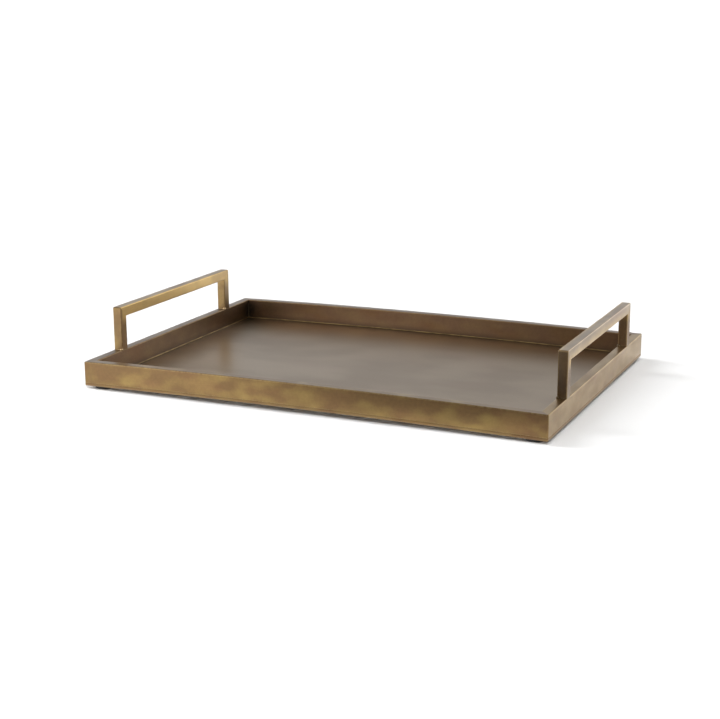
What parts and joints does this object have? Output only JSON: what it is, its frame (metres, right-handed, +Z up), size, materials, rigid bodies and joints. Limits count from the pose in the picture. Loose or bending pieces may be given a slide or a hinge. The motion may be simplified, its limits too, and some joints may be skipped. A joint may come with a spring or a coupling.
{
  "type": "serving tray",
  "caption": "Rectangular brass serving tray with low squared walls, a flat sheet floor, rubber feet and a fixed squared carrying handle standing on each short side.",
  "frame": {"origin": "on the surface that the tray stands on, midway between the four feet, under the centre of the tray", "axes": "+X along the length towards the right end rail, +Y across the width towards the back rail, +Z up"},
  "size_m": [0.508, 0.356, 0.0762],
  "materials": {
    "brass_plate": "aged satin, fine brushed grain along the length",
    "brass_rail": "aged satin with mottled golden and reddish-brown patina, rubbed along the edges",
    "brass_handle": "aged satin, rubbed brighter where it is held",
    "rubber_foot": "moulded black rubber, matte",
    "adhesive": "foam tape, matte",
    "solder": "brazing alloy, slightly rough, yellower than the patina"
  },
  "bodies": {
    "root": {"base_plate": "brass_plate", "front_rail": "brass_rail", "back_rail": "brass_rail", "left_rail": "brass_rail", "right_rail": "brass_rail", "left_handle_grip": "brass_handle", "left_handle_front_post": "brass_handle", "left_handle_back_post": "brass_handle", "right_handle_grip": "brass_handle", "right_handle_front_post": "brass_handle", "right_handle_back_post": "brass_handle", "front_left_foot": "rubber_foot", "front_right_foot": "rubber_foot", "back_left_foot": "rubber_foot", "back_right_foot": "rubber_foot", "foot_adhesive_discs": "adhesive", "front_floor_solder": "solder", "back_floor_solder": "solder", "left_floor_solder": "solder", "right_floor_solder": "solder", "front_left_corner_solder": "solder", "front_right_corner_solder": "solder", "back_left_corner_solder": "solder", "back_right_corner_solder": "solder", "left_front_post_solder": "solder", "left_back_post_solder": "solder", "right_front_post_solder": "solder", "right_back_post_solder": "solder"}
  },
  "joints": []
}
